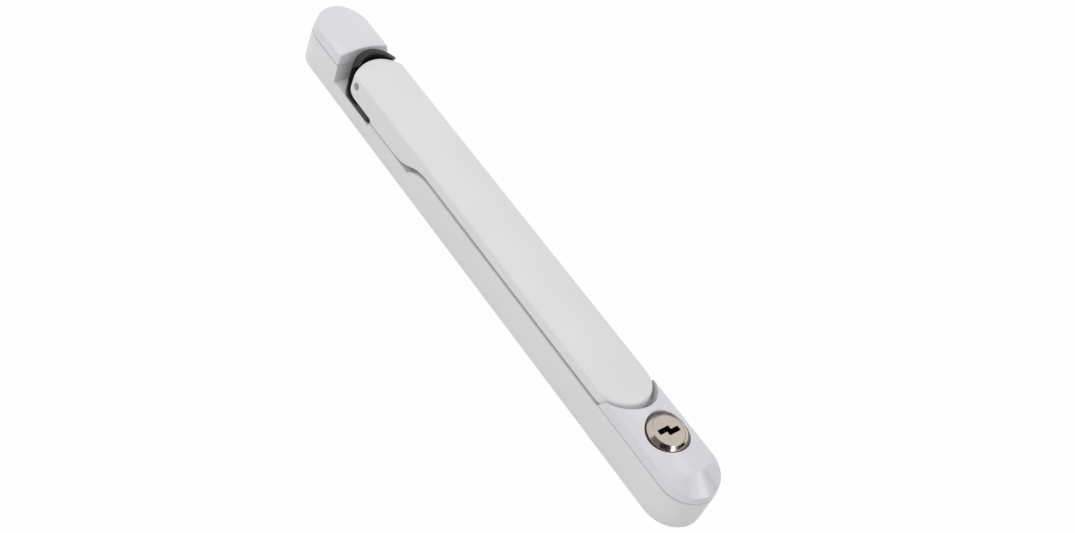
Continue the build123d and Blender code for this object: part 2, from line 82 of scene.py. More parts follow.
class Signal:
    """A node socket that takes part in Python expressions, each of which adds Math nodes."""

    def __init__(self, graph: "Graph", socket: bpy.types.NodeSocket) -> None:
        """Keeps the socket and the graph that it belongs to.

        Args:
            graph: The graph that new nodes go into.
            socket: The output socket that carries the value.
        """
        self.graph = graph
        self.socket = socket

    def _math(self, operation: str, *values: Union["Signal", Number]) -> "Signal":
        """Adds one Math node.

        Args:
            operation: The Math node's operation.
            values: Its operands, in order.

        Returns:
            The node's value.
        """
        node = self.graph.node("ShaderNodeMath", {"operation": operation}, dict(enumerate(values)))
        return self.graph.out(node)

    def __add__(self, other: Union["Signal", Number]) -> "Signal":
        """Returns the sum."""
        return self._math("ADD", self, other)

    def __radd__(self, other: Number) -> "Signal":
        """Returns the sum, for a number on the left."""
        return self._math("ADD", other, self)

    def __sub__(self, other: Union["Signal", Number]) -> "Signal":
        """Returns the difference."""
        return self._math("SUBTRACT", self, other)

    def __mul__(self, other: Union["Signal", Number]) -> "Signal":
        """Returns the product."""
        return self._math("MULTIPLY", self, other)

    def __rmul__(self, other: Number) -> "Signal":
        """Returns the product, for a number on the left."""
        return self._math("MULTIPLY", other, self)

    def __truediv__(self, other: Union["Signal", Number]) -> "Signal":
        """Returns the quotient."""
        return self._math("DIVIDE", self, other)

    def __pow__(self, other: Union["Signal", Number]) -> "Signal":
        """Returns the power."""
        return self._math("POWER", self, other)

    def sine(self) -> "Signal":
        """Returns the sine."""
        return self._math("SINE", self)

    def largest(self, other: Union["Signal", Number]) -> "Signal":
        """Returns the larger of two values."""
        return self._math("MAXIMUM", self, other)

    def fade(self, low: float, high: float) -> "Signal":
        """Turns a value into a soft step.

        Args:
            low: The value where the step starts at 0.
            high: The value where the step reaches 1.

        Returns:
            The step, between 0 and 1.
        """
        settings = {"interpolation_type": "SMOOTHSTEP"}
        inputs = {"Value": self, "From Min": low, "From Max": high}
        return self.graph.out(self.graph.node("ShaderNodeMapRange", settings, inputs))


class Graph:
    """A node tree that is filled from Python."""

    def __init__(self, tree: bpy.types.NodeTree) -> None:
        """Keeps the tree to fill."""
        self.tree = tree

    def node(
        self,
        kind: str,
        settings: Optional[dict[str, Any]] = None,
        inputs: Optional[dict[Union[str, int], Any]] = None,
    ) -> bpy.types.Node:
        """Adds a node of any type.

        Args:
            kind: The node's type name.
            settings: The node's own properties, set before its sockets.
            inputs: Values or links for its sockets, by name or by number.

        Returns:
            The new node.
        """
        made = self.tree.nodes.new(kind)
        for key, value in (settings or {}).items():
            setattr(made, key, value)
        for key, value in (inputs or {}).items():
            self.feed(made, key, value)
        return made

    def feed(self, node: bpy.types.Node, key: Union[str, int], value: Any) -> None:
        """Links a signal to a socket, or sets the socket's own value.

        Args:
            node: The node to feed.
            key: The socket's name or number.
            value: A signal, several signals for a socket that joins them, or a plain value.
        """
        if isinstance(key, int):
            socket = node.inputs[key]
        else:
            socket = next(s for s in node.inputs if s.name == key and s.enabled)
        if isinstance(value, list):
            for part in value:
                self.tree.links.new(part.socket, socket)
        elif isinstance(value, Signal):
            self.tree.links.new(value.socket, socket)
        else:
            socket.default_value = value

    def out(self, node: bpy.types.Node, name: Optional[str] = None) -> Signal:
        """Gives an output of a node as a signal.

        Args:
            node: The node to read.
            name: The output's name, or None for the first one in use.

        Returns:
            The output.
        """
        usable = [s for s in node.outputs if s.enabled]
        socket = usable[0] if name is None else next(s for s in usable if s.name == name)
        return Signal(self, socket)


def blank_graph(owner: Union[bpy.types.Material, bpy.types.World]) -> Graph:
    """Empties the node tree of a material or a world.

    Args:
        owner: The material or world.

    Returns:
        Its empty graph.
    """
    owner.use_nodes = True
    owner.node_tree.nodes.clear()
    return Graph(owner.node_tree)


class Shading(Graph):
    """The node graph of one finish, with its Principled shader."""

    def __init__(self, material: bpy.types.Material) -> None:
        """Empties the material's tree and adds the shader and its output."""
        super().__init__(blank_graph(material).tree)
        self.shader = self.node("ShaderNodeBsdfPrincipled")
        self.node("ShaderNodeOutputMaterial", None, {"Surface": self.out(self.shader)})

    def place(self, centre: Rgb = (0.0, 0.0, 0.0), scale: Rgb = (1.0, 1.0, 1.0)) -> Signal:
        """Gives Object coordinates about a centre.

        Args:
            centre: The pattern's centre in the part's frame, in metres.
            scale: The stretch of the pattern along each axis.

        Returns:
            The coordinates.
        """
        coordinates = self.out(self.node("ShaderNodeTexCoord"), "Object")
        moved = tuple(-c * s for c, s in zip(centre, scale))
        inputs = {"Vector": coordinates, "Location": moved, "Scale": scale}
        return self.out(self.node("ShaderNodeMapping", None, inputs))

    def grain(self, size: float, detail: float = 2.0, vector: Optional[Signal] = None) -> Signal:
        """Gives soft noise of a given cell size.

        Args:
            size: The cells' size in metres.
            detail: How many finer layers are added.
            vector: Coordinates to use, or None for plain Object coordinates.

        Returns:
            The noise, about 0 to 1.
        """
        inputs = {"Vector": vector or self.place(), "Scale": 1.0 / size, "Detail": detail}
        return self.out(self.node("ShaderNodeTexNoise", None, inputs))

    def mix(self, factor: Signal, first: Rgb, second: Union[Rgb, Signal]) -> Signal:
        """Blends two colours.

        Args:
            factor: 0 for the first colour, 1 for the second.
            first: The first colour, linear.
            second: The second colour, linear, or a signal that carries one.

        Returns:
            The blended colour.
        """
        settings = {"data_type": "RGBA"}
        other = second if isinstance(second, Signal) else (*second, 1.0)
        inputs = {"Factor": factor, "A": (*first, 1.0), "B": other}
        return self.out(self.node("ShaderNodeMix", settings, inputs))

    def relief(self, height: Signal, depth: float) -> Signal:
        """Gives a bumped normal.

        Args:
            height: The relief, about 0 to 1.
            depth: The relief's depth in metres.

        Returns:
            The normal.
        """
        return self.out(self.node("ShaderNodeBump", None, {"Height": height, "Distance": depth}))

    def surface(self, **sockets: Any) -> None:
        """Feeds the shader's sockets, named with underscores."""
        for name, value in sockets.items():
            self.feed(self.shader, name.replace("_", " ").title().replace("Ior", "IOR"), value)


@dataclass(frozen=True)
class Finish:
    """What every finish shares: its name, two close shades of one colour and its gloss."""

    name: str
    colour: Rgb
    second: Rgb
    roughness: float
    softness: float = 0.2
    gloss_change: float = 0.06

    def material(self) -> bpy.types.Material:
        """Returns the finish as a material, made once."""
        known = bpy.data.materials.get(f"finish_{self.name}")
        if known is not None:
            return known
        made = bpy.data.materials.new(f"finish_{self.name}")
        self.dress(Shading(made))
        return made

    def shade(self, shading: Shading, pattern: Signal) -> Signal:
        """Blends the two shades.

        Args:
            shading: The material's graph.
            pattern: What blends them, about 0 to 1.

        Returns:
            The colour.
        """
        share = pattern.fade(0.5 - self.softness, 0.5 + self.softness)
        return shading.mix(share, self.colour, self.second)

    def gloss(self, pattern: Signal) -> Signal:
        """Varies the roughness.

        Args:
            pattern: What varies it, about 0 to 1.

        Returns:
            The roughness.
        """
        return self.roughness + self.gloss_change * (pattern - 0.5)

    def dress(self, shading: Shading) -> None:
        """Fills the material's graph; each kind of finish has its own."""
        raise NotImplementedError


@dataclass(frozen=True)
class PowderCoat(Finish):
    """A baked coat with the faint orange peel of sprayed powder."""

    peel_size: float = 1.3 * MM
    peel_depth: float = 0.006 * MM
    fine_size: float = 0.25
    fine_share: float = 0.25
    cloud_size: float = 24 * MM
    gloss_change: float = 0.08
    shine: float = 0.5

    def dress(self, shading: Shading) -> None:
        """Mottles the colour a little and raises the orange peel."""
        clouds = shading.grain(self.cloud_size)
        peel = shading.grain(self.peel_size, detail=1.0)
        fine = shading.grain(self.peel_size * self.fine_size, detail=1.0)
        shading.surface(
            specular_ior_level=self.shine,
            base_color=self.shade(shading, clouds),
            roughness=self.gloss(clouds),
            normal=shading.relief(peel + self.fine_share * fine, self.peel_depth),
        )


@dataclass(frozen=True)
class Moulding(Finish):
    """A moulded plastic with polished skin and faint flow clouds, and where a seam height is given, a
    painted shade line at the seam.
    """

    flow_size: float = 16 * MM
    flow_stretch: float = 3.0
    skin_size: float = 0.5 * MM
    skin_depth: float = 0.001 * MM
    # The seam fields paint a dark band above the seam height: painted shade of the joint between cap
    # and base.
    seam_height: Optional[float] = None
    seam_width: float = 0.55 * MM
    seam_shade: Rgb = (0.16, 0.16, 0.2)

    def dress(self, shading: Shading) -> None:
        """Draws the flow clouds along the length, the fine skin and a painted shade line in the seam.
        """
        along = shading.place(scale=(1.0 / self.flow_stretch, 1.0, 1.0))
        flow = shading.grain(self.flow_size, vector=along)
        skin = shading.grain(self.skin_size, detail=1.0)
        colour = self.shade(shading, flow)
        # Painted shade: the caps turn dark just above the seam to stand in for the shadow in the joint.
        if self.seam_height is not None:
            place = shading.node("ShaderNodeSeparateXYZ", None, {"Vector": shading.place()})
            clear = shading.out(place, "Z").fade(self.seam_height, self.seam_height + self.seam_width)
            colour = shading.mix(clear, self.seam_shade, colour)
        shading.surface(
            base_color=colour,
            roughness=self.gloss(flow),
            normal=shading.relief(skin, self.skin_depth),
        )


@dataclass(frozen=True)
class TurnedMetal(Finish):
    """A plated metal face with fine turning lines about an upright axis."""

    centre: Rgb = (0.0, 0.0, 0.0)
    line_pitch: float = 0.16 * MM
    line_depth: float = 0.0004 * MM
    line_gloss: float = 0.02
    blotch_size: float = 2.5 * MM
    softness: float = 0.25

    def dress(self, shading: Shading) -> None:
        """Cuts the turning lines and clouds the plating."""
        centred = shading.place(centre=self.centre)
        place = shading.node("ShaderNodeSeparateXYZ", None, {"Vector": centred})
        across = shading.out(place, "X") ** 2.0 + shading.out(place, "Y") ** 2.0
        lines = ((across**0.5) * (2.0 * math.pi / self.line_pitch)).sine()
        blotches = shading.grain(self.blotch_size)
        shading.surface(
            metallic=1.0,
            base_color=self.shade(shading, blotches),
            roughness=self.gloss(blotches) + self.line_gloss * lines,
            normal=shading.relief(lines * 0.5 + 0.5, self.line_depth),
        )


@dataclass(frozen=True)
class DrawnMetal(Finish):
    """Bare metal with drawing marks along one direction."""

    stretch: Rgb = (0.06, 1.0, 1.0)
    mark_size: float = 0.12 * MM
    mark_depth: float = 0.001 * MM
    blotch_size: float = 3.0 * MM
    softness: float = 0.25
    gloss_change: float = 0.18

    def dress(self, shading: Shading) -> None:
        """Draws the marks and clouds the metal."""
        marks = shading.grain(self.mark_size, vector=shading.place(scale=self.stretch))
        blotches = shading.grain(self.blotch_size)
        shading.surface(
            metallic=1.0,
            base_color=self.shade(shading, blotches),
            roughness=self.gloss(marks),
            normal=shading.relief(marks, self.mark_depth),
        )


@dataclass(frozen=True)
class Rubber(Finish):
    """Matt rubber with a fine tooth."""

    tooth_size: float = 0.18 * MM
    tooth_depth: float = 0.012 * MM
    softness: float = 0.15
    gloss_change: float = 0.1

    def dress(self, shading: Shading) -> None:
        """Roughens the skin."""
        tooth = shading.grain(self.tooth_size)
        shading.surface(
            base_color=self.shade(shading, tooth),
            roughness=self.gloss(tooth),
            normal=shading.relief(tooth, self.tooth_depth),
        )


LOCK_LOW, LOCK_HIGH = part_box("lock_barrel")
LOCK_CENTRE: Rgb = ((LOCK_LOW.x + LOCK_HIGH.x) / 2, (LOCK_LOW.y + LOCK_HIGH.y) / 2, 0.0)

FINISHES: dict[Slot, Finish] = {
    Slot.WHITE_COAT: PowderCoat("white_coat", (0.795, 0.795, 0.805), (0.775, 0.775, 0.787), 0.36),
    Slot.WHITE_MOULDING: Moulding(
        "white_moulding", (0.765, 0.756, 0.788), (0.75, 0.742, 0.775), 0.13, seam_height=SEAM_HEIGHT
    ),
    Slot.BLACK_COAT: PowderCoat(
        "black_coat", (0.010, 0.010, 0.012), (0.016, 0.016, 0.019), 0.4, peel_size=0.7 * MM, shine=0.3
    ),
    Slot.NICKEL: TurnedMetal(
        "nickel", (0.550, 0.492, 0.438), (0.518, 0.462, 0.410), 0.17, centre=LOCK_CENTRE
    ),
    Slot.STEEL: DrawnMetal("bright_steel", (0.37, 0.33, 0.29), (0.30, 0.268, 0.235), 0.3),
    Slot.SPRING: DrawnMetal("spring_steel", (0.33, 0.335, 0.345), (0.26, 0.265, 0.28), 0.34),
    Slot.NYLON: Moulding("nylon", (0.70, 0.67, 0.60), (0.66, 0.63, 0.55), 0.45, flow_stretch=1.0),
    Slot.RUBBER: Rubber("soft_rubber", (0.030, 0.030, 0.031), (0.045, 0.045, 0.046), 0.78),
}


class Workbench(Graph):
    """A Geometry Nodes tree with named sizes, run once to give a plain mesh."""

    def __init__(self, name: str) -> None:
        """Makes an empty tree with a geometry output.

        Args:
            name: The tree's name.
        """
        super().__init__(bpy.data.node_groups.new(name, "GeometryNodeTree"))
        self.tree.interface.new_socket("Geometry", in_out="OUTPUT", socket_type="NodeSocketGeometry")
        self.sizes: dict[str, float] = {}
        self.source = self.node("NodeGroupInput")

    def size(self, name: str, value: float) -> Signal:
        """Adds a named size as an input of the tree.

        Args:
            name: The input's name.
            value: Its value, in metres unless it is a count.

        Returns:
            The input as a signal.
        """
        item = self.tree.interface.new_socket(name, in_out="INPUT", socket_type="NodeSocketFloat")
        self.sizes[item.identifier] = value
        return self.out(self.source, name)

    def vector(self, x: Any = 0.0, y: Any = 0.0, z: Any = 0.0) -> Signal:
        """Returns a vector of three values or signals."""
        return self.out(self.node("ShaderNodeCombineXYZ", None, {"X": x, "Y": y, "Z": z}))

    def moved(self, geometry: Signal, offset: Signal, turn: Rgb = (0.0, 0.0, 0.0)) -> Signal:
        """Turns geometry about the origin and then moves it.

        Args:
            geometry: What to move.
            offset: The move.
            turn: The turn about X, Y and Z in radians.

        Returns:
            The moved geometry.
        """
        inputs = {"Geometry": geometry, "Translation": offset, "Rotation": turn}
        return self.out(self.node("GeometryNodeTransform", None, inputs))

    def joined(self, parts: list[Signal]) -> Signal:
        """Returns several geometries as one."""
        return self.out(self.node("GeometryNodeJoinGeometry", None, {"Geometry": parts}))

    def repeated(self, part: Signal, start: Signal, step: Signal, count: int) -> Signal:
        """Sets copies of a part in a straight row.

        Args:
            part: The part to repeat.
            start: The first copy's place.
            step: The move from one copy to the next.
            count: How many copies there are.

        Returns:
            The copies, as instances.
        """
        inputs = {"Count": count, "Start Location": start, "Offset": step}
        row = self.out(self.node("GeometryNodeMeshLine", {"mode": "OFFSET"}, inputs))
        copies = self.node("GeometryNodeInstanceOnPoints", None, {"Points": row, "Instance": part})
        return self.out(copies)

    def drum(self, radius: Signal, depth: Signal, sides: int) -> bpy.types.Node:
        """Returns the node of an upright cylinder about the origin."""
        inputs = {"Vertices": sides, "Radius": radius, "Depth": depth}
        return self.node("GeometryNodeMeshCylinder", None, inputs)

    def helix(self, radius: Signal, height: Signal, turns: Signal, steps: int) -> Signal:
        """Draws a helix that rises from the origin.

        Args:
            radius: The helix's radius.
            height: Its whole rise.
            turns: How many turns it has.
            steps: The points of one turn.

        Returns:
            The curve.
        """
        inputs = {
            "Resolution": steps,
            "Rotations": turns,
            "Start Radius": radius,
            "End Radius": radius,
            "Height": height,
        }
        return self.out(self.node("GeometryNodeCurveSpiral", None, inputs))

    def swept(self, curve: Signal, radius: Signal, sides: int) -> Signal:
        """Sweeps a regular section along a curve.

        Args:
            curve: The path.
            radius: The section's radius.
            sides: The section's sides.

        Returns:
            The closed mesh.
        """
        inputs = {"Resolution": sides, "Radius": radius}
        section = self.node("GeometryNodeCurvePrimitiveCircle", {"mode": "RADIUS"}, inputs)
        sweep = {"Curve": curve, "Profile Curve": self.out(section), "Fill Caps": True}
        return self.out(self.node("GeometryNodeCurveToMesh", None, sweep))

    def finished(self, geometry: Signal, name: str, finish: Finish) -> bpy.types.Mesh:
        """Realizes the geometry, gives it its finish and bakes the tree to a plain mesh.

        Args:
            geometry: The tree's result.
            name: The mesh's name.
            finish: The finish of the whole mesh.

        Returns:
            The plain mesh.
        """
        real = self.out(self.node("GeometryNodeRealizeInstances", None, {"Geometry": geometry}))
        inputs = {"Geometry": real, "Material": finish.material()}
        dressed = self.out(self.node("GeometryNodeSetMaterial", None, inputs))
        self.node("NodeGroupOutput", None, {"Geometry": dressed})
        carrier = bpy.data.objects.new(name, bpy.data.meshes.new(name))
        bpy.context.scene.collection.objects.link(carrier)
        modifier = carrier.modifiers.new("tree", "NODES")
        modifier.node_group = self.tree
        for identifier, value in self.sizes.items():
            modifier[identifier] = value
        mesh = plain_mesh(carrier)
        bpy.data.objects.remove(carrier)
        return mesh


def plain_mesh(carrier: bpy.types.Object) -> bpy.types.Mesh:
    """Bakes an object's modifiers.

    Args:
        carrier: The object with the modifiers.

    Returns:
        A new mesh with their result.
    """
    graph = bpy.context.evaluated_depsgraph_get()
    result = carrier.evaluated_get(graph)
    return bpy.data.meshes.new_from_object(result, preserve_all_data_layers=True, depsgraph=graph)


def creased(mesh: bpy.types.Mesh) -> bpy.types.Mesh:
    """Shades a mesh smooth between its creases.

    Args:
        mesh: The mesh.

    Returns:
        The same mesh.
    """
    mesh.shade_smooth()
    mesh.set_sharp_from_angle(angle=CREASE_ANGLE)
    return mesh


def merged_copy(
    node: str,
    flat_angle: float,
    merge: float,
    cuts: Iterable[float] = (),
) -> bpy.types.Mesh:
    """Copies a CAD node's mesh with its triangles joined.

    Args:
        node: The node's name.
        flat_angle: Faces that meet at less than this angle, in radians, become one.
        merge: Points closer than this, in metres, become one.
        cuts: Places along the handle, in metres, where the faces are divided.

    Returns:
        The joined copy.
    """
    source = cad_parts[node].data
    work = bmesh.new()
    work.from_mesh(source)
    bmesh.ops.remove_doubles(work, verts=work.verts[:], dist=merge)
    bmesh.ops.dissolve_limit(work, angle_limit=flat_angle, verts=work.verts[:], edges=work.edges[:])
    for cut in cuts:
        everything = work.verts[:] + work.edges[:] + work.faces[:]
        place, along = Vector((cut, 0.0, 0.0)), Vector((1.0, 0.0, 0.0))
        bmesh.ops.bisect_plane(work, geom=everything, plane_co=place, plane_no=along)
    made = bpy.data.meshes.new(f"{node}_soft")
    work.to_mesh(made)
    work.free()
    return made


def add_piece(
    name: str,
    mesh: bpy.types.Mesh,
    body: Body,
    slot: Slot,
    stands_for: Iterable[str] = (),
) -> bpy.types.Object:
    """Puts a finished mesh into the scene and ties it to its body.

    Args:
        name: The piece's name.
        mesh: Its mesh, in the part's frame.
        body: The body that it moves with.
        slot: The record's slot that gives its finish.
        stands_for: The CAD nodes that it replaces.

    Returns:
        The piece.
    """
    mesh.name = name
    piece = bpy.data.objects.new(name, mesh)
    bpy.context.scene.collection.objects.link(piece)
    mesh.materials.clear()
    mesh.materials.append(FINISHES[slot].material())
    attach(piece, body.value)
    if stands_for:
        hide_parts(*stands_for)
    LOG.info("%s: %d faces on %s", name, len(mesh.polygons), body.value)
    return piece


def carry_over(node: str, slot: Slot) -> None:
    """Keeps a CAD node as it is and gives it its finish.

    Args:
        node: The node's name.
        slot: The record's slot that gives its finish.
    """
    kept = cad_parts[node]
    kept.material_slots[0].link = "OBJECT"
    kept.material_slots[0].material = FINISHES[slot].material()
    LOG.info("%s: kept, %s", node, slot.value)


@dataclass(frozen=True)
class EdgeBreak:
    """A small break of every sharp edge of a node, shaded as a rounding."""

    width: float
    sharp_angle: float = math.radians(32)
    flat_angle: float = math.radians(0.05)
    merge: float = 0.002 * MM
    fold_angle: float = math.radians(60)
    smooth_angle: float = math.radians(5)
    broad_width: float = 0.3 * MM

    def soften(self, node: str, body: Body, slot: Slot, cuts: Iterable[float] = ()) -> bpy.types.Object:
        """Replaces a node by a copy with its edges broken.

        Args:
            node: The node's name.
            body: The body that it moves with.
            slot: The record's slot that gives its finish.
            cuts: Places along the handle, in metres, where the faces are divided.

        Returns:
            The piece that stands for the node.
        """
        mesh = merged_copy(node, self.flat_angle, self.merge, cuts)
        mesh.shade_smooth()
        carrier = bpy.data.objects.new(node, mesh)
        bpy.context.scene.collection.objects.link(carrier)
        bevel = carrier.modifiers.new("edge", "BEVEL")
        bevel.width = self.width
        bevel.segments = 1
        bevel.limit_method = "ANGLE"
        bevel.angle_limit = self.sharp_angle
        bevel.use_clamp_overlap = False
        carrier.data = self.unfolded(plain_mesh(carrier), node)
        carrier.modifiers.clear()
        normals = carrier.modifiers.new("normals", "DATA_TRANSFER")
        normals.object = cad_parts[node]
        normals.use_loop_data = True
        normals.data_types_loops = {"CUSTOM_NORMAL"}
        normals.loop_mapping = "POLYINTERP_NEAREST"
        softened = plain_mesh(carrier)
        bpy.data.objects.remove(carrier)
        self.settle_normals(softened)
        return add_piece(f"{node}_finished", softened, body, slot, (node,))

    def unfolded(self, mesh: bpy.types.Mesh, node: str) -> bpy.types.Mesh:
        """Turns round the slivers that the edge break has folded over.

        Args:
            mesh: The mesh with its edges broken.
            node: The CAD node that it was made from.

        Returns:
            The same mesh.
        """
        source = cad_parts[node]
        folded = -math.cos(self.fold_angle)
        work = bmesh.new()
        work.from_mesh(mesh)
        for face in work.faces:
            _, _, outward, _ = source.closest_point_on_mesh(face.calc_center_median())
            if face.normal.dot(outward) < folded:
                face.normal_flip()
        work.to_mesh(mesh)
        work.free()
        return mesh

    def settle_normals(self, mesh: bpy.types.Mesh) -> None:
        """Gives corners that took a neighbour's normal the normal of their own smooth stretch.

        Args:
            mesh: The mesh with the CAD node's normals.
        """
        steep, smooth = math.cos(self.fold_angle), math.cos(self.smooth_angle)
        settled = [corner.vector.copy() for corner in mesh.corner_normals]
        around: list[list[bpy.types.MeshPolygon]] = [[] for _ in mesh.vertices]
        for face in mesh.polygons:
            for point in face.vertices:
                around[point].append(face)
        for face in mesh.polygons:
            points = [mesh.vertices[point].co for point in face.vertices]
            outline = sum((b - a).length for a, b in zip(points, points[1:] + points[:1]))
            limit = smooth if 2 * face.area > self.broad_width * outline else steep
            for corner, point in zip(face.loop_indices, face.vertices):
                if settled[corner].dot(face.normal) < limit:
                    stretch = [f for f in around[point] if f.normal.dot(face.normal) > smooth]
                    blend = sum((f.normal * f.area for f in stretch), Vector())
                    settled[corner] = blend.normalized()
        mesh.normals_split_custom_set(settled)


@dataclass
class CoilSpring:
    """The coil spring behind the lever's plunger, with closed ends."""

    wire_radius: float = 0.3 * MM
    turns: float = 9.0
    end_closing: float = 0.6
    steps_per_turn: int = 40
    wire_sides: int = 12

    def build(self) -> bpy.types.Object:
        """Winds the wire and replaces the plain CAD spring.

        Returns:
            The spring.
        """
        low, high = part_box("plunger_spring")
        bench = Workbench("spring_coil")
        wire = bench.size("Wire Radius", self.wire_radius)
        coil = bench.size("Coil Radius", (high.y - low.y) / 2 - self.wire_radius)
        length = bench.size("Length", high.x - low.x - 2 * self.wire_radius)
        turns = bench.size("Turns", self.turns)
        start = bench.size("Start", low.x + self.wire_radius)
        height = bench.size("Height", (low.z + high.z) / 2)
        closing = bench.size("End Closing", self.end_closing)
        helix = bench.helix(coil, length, turns, self.steps_per_turn)
        spot = bench.out(bench.node("GeometryNodeInputPosition"))
        parts = bench.node("ShaderNodeSeparateXYZ", None, {"Vector": spot})
        rise = bench.out(parts, "Z")
        lag = (rise / length * (2 * math.pi)).sine() * closing * length / (2 * math.pi)
        place = bench.vector(bench.out(parts, "X"), bench.out(parts, "Y"), rise - lag)
        set_inputs = {"Geometry": helix, "Position": place}
        wound = bench.out(bench.node("GeometryNodeSetPosition", None, set_inputs))
        laid = bench.moved(wound, bench.vector(start, 0.0, height), (0.0, math.pi / 2, 0.0))
        drawn = bench.swept(laid, wire, self.wire_sides)
        mesh = bench.finished(drawn, "plunger_coil", FINISHES[Slot.SPRING])
        return add_piece("plunger_coil", mesh, Body.LEVER, Slot.SPRING, ("plunger_spring",))


@dataclass
class PlateScrews:
    """The two threaded screws that hold the slide's back plate."""

    thread_radius: float = 1.0 * MM
    core_radius: float = 0.78 * MM
    pitch: float = 0.5 * MM
    head_radius: float = 1.7 * MM
    head_height: float = 1.1 * MM
    slot_width: float = 0.5 * MM
    slot_depth: float = 0.5 * MM
    slot_reach: float = 3.0
    tip_length: float = 0.8 * MM
    tip_share: float = 0.35
    ridge_sides: int = 4
    sides: int = 40
    count: int = 2

    def build(self) -> bpy.types.Object:
        """Turns one screw and sets it in both holes.

        Returns:
            The screws.
        """
        low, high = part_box("slide_plate_screws")
        bench = Workbench("plate_screw")
        shank = bench.size("Shank Length", high.z - low.z - self.head_height)
        spacing = bench.size("Spacing", high.y - low.y - 2 * self.head_radius)
        first_x = bench.size("Place X", (low.x + high.x) / 2)
        seat = bench.size("Seat Height", low.z + self.head_height)
        screw = bench.joined([*self.shank(bench, shank), self.head(bench)])
        start = bench.vector(first_x, spacing * -0.5, seat)
        row = bench.repeated(screw, start, bench.vector(0.0, spacing, 0.0), self.count)
        mesh = creased(bench.finished(row, "plate_screws", FINISHES[Slot.STEEL]))
        return add_piece("plate_screws", mesh, Body.BASE, Slot.STEEL, ("slide_plate_screws",))

    def shank(self, bench: Workbench, length: Signal) -> list[Signal]:
        """Turns the shank that stands on the seat.

        Args:
            bench: The screw's tree.
            length: The shank's whole length.

        Returns:
            The core, its blunt point and the thread.
        """
        thread = bench.size("Thread Radius", self.thread_radius)
        core = bench.size("Core Radius", self.core_radius)
        pitch = bench.size("Pitch", self.pitch)
        tip = bench.size("Tip Length", self.tip_length)
        tip_share = bench.size("Tip Share", self.tip_share)
        straight = length - tip
        stem = bench.out(bench.drum(core, straight, self.sides))
        stem = bench.moved(stem, bench.vector(z=straight / 2))
        point_inputs = {
            "Vertices": self.sides,
            "Radius Top": core * tip_share,
            "Radius Bottom": core,
            "Depth": tip,
        }
        point = bench.out(bench.node("GeometryNodeMeshCone", None, point_inputs))
        point = bench.moved(point, bench.vector(z=straight))
        helix = bench.helix(core, straight - pitch, straight / pitch, self.sides)
        helix = bench.moved(helix, bench.vector(z=pitch / 2))
        return [stem, point, bench.swept(helix, thread - core, self.ridge_sides)]

    def head(self, bench: Workbench) -> Signal:
        """Turns the flat head below the seat and cuts its slot.

        Args:
            bench: The screw's tree.

        Returns:
            The head.
        """
        radius = bench.size("Head Radius", self.head_radius)
        height = bench.size("Head Height", self.head_height)
        slot_width = bench.size("Slot Width", self.slot_width)
        slot_depth = bench.size("Slot Depth", self.slot_depth)
        disc = bench.out(bench.drum(radius, height, self.sides))
        disc = bench.moved(disc, bench.vector(z=height / -2))
        bar_size = bench.vector(radius * self.slot_reach, slot_width, slot_depth * 2)
        bar = bench.out(bench.node("GeometryNodeMeshCube", None, {"Size": bar_size}))
        bar = bench.moved(bar, bench.vector(z=height * -1))
        inputs = {"Mesh 1": disc, "Mesh 2": bar}
        return bench.out(bench.node("GeometryNodeMeshBoolean", {"operation": "DIFFERENCE"}, inputs))


@dataclass
class RestPads:
    """The two dished rubber pads that the folded lever rests on."""

    seat_drop: float
    lip: float = 0.62
    dish_depth: float = 0.35 * MM
    sides: int = 64
    count: int = 2

    def build(self) -> bpy.types.Object:
        """Moulds one pad and sets it in both seats.

        Returns:
            The pads.
        """
        low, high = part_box("rest_buffers")
        bench = Workbench("rest_pad")
        radius = bench.size("Radius", (high.y - low.y) / 2)
        height = bench.size("Height", high.z - low.z + self.seat_drop)
        lip = bench.size("Lip", self.lip)
        dish = bench.size("Dish Depth", self.dish_depth)
        bottom = bench.size("Bottom", low.z - self.seat_drop)
        first = bench.size("First Place", low.x + (high.y - low.y) / 2)
        spacing = bench.size("Spacing", high.x - low.x - (high.y - low.y))
        drum = bench.drum(radius, height, self.sides)
        top = bench.out(drum, "Top")
        rim_inputs = {"Mesh": bench.out(drum, "Mesh"), "Selection": top, "Offset Scale": 0.0}
        rim = bench.node("GeometryNodeExtrudeMesh", {"mode": "FACES"}, rim_inputs)
        inner = bench.out(rim, "Top")
        shrunk_inputs = {"Geometry": bench.out(rim, "Mesh"), "Selection": inner, "Scale": lip}
        shrunk = bench.out(bench.node("GeometryNodeScaleElements", None, shrunk_inputs))
        dish_inputs = {"Mesh": shrunk, "Selection": inner, "Offset Scale": dish * -1}
        dished = bench.node("GeometryNodeExtrudeMesh", {"mode": "FACES"}, dish_inputs)
        pad = bench.moved(bench.out(dished, "Mesh"), bench.vector(z=height / 2))
        start = bench.vector(first, 0.0, bottom)
        row = bench.repeated(pad, start, bench.vector(spacing, 0.0, 0.0), self.count)
        mesh = creased(bench.finished(row, "rest_pads", FINISHES[Slot.RUBBER]))
        return add_piece("rest_pads", mesh, Body.BASE, Slot.RUBBER, ("rest_buffers",))


class Assembly:
    """A group of pieces that go together on the bench."""

    kept: ClassVar[dict[str, Slot]] = {}

    def build(self) -> None:
        """Makes the group's finished pieces; each group has its own."""
        raise NotImplementedError

    def dress(self) -> None:
        """Gives the CAD nodes that are kept their finishes."""
        for node, slot in self.kept.items():
            carry_over(node, slot)


